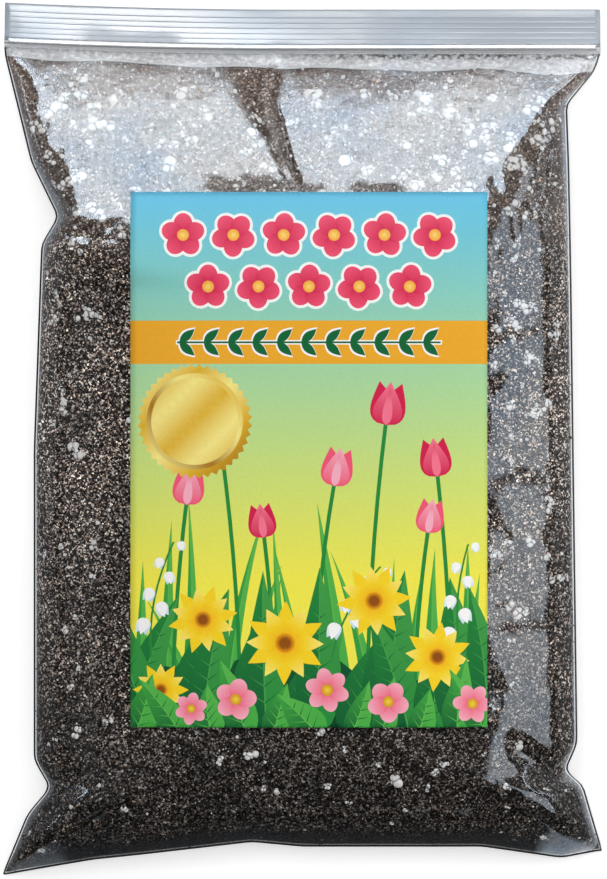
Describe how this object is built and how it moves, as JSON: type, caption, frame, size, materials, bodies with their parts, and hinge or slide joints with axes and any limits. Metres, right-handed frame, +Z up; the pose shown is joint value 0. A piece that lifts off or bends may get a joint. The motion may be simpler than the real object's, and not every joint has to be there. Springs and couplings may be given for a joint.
{
  "type": "bag of potting soil",
  "caption": "Clear press-to-close plastic bag filled with dark potting soil and white perlite, lying on its back, with a printed rectangular label on the front.",
  "frame": {"origin": "On the surface under the middle of the bag's outline, as it lies on its back", "axes": "+X to the right across the label, +Y along the bag towards the zip, +Z up out of the label"},
  "size_m": [0.2606, 0.3798, 0.0645],
  "materials": {
    "clear_film": "clear glossy polythene film",
    "soil": "loose dark peat mix with white perlite grains, matt",
    "label_print": "printed semi-gloss sticker paper, sky blue to green to yellow"
  },
  "bodies": {
    "root": {"clear_bag": "clear_film", "soil_mix": "soil", "label": "label_print"}
  },
  "joints": []
}
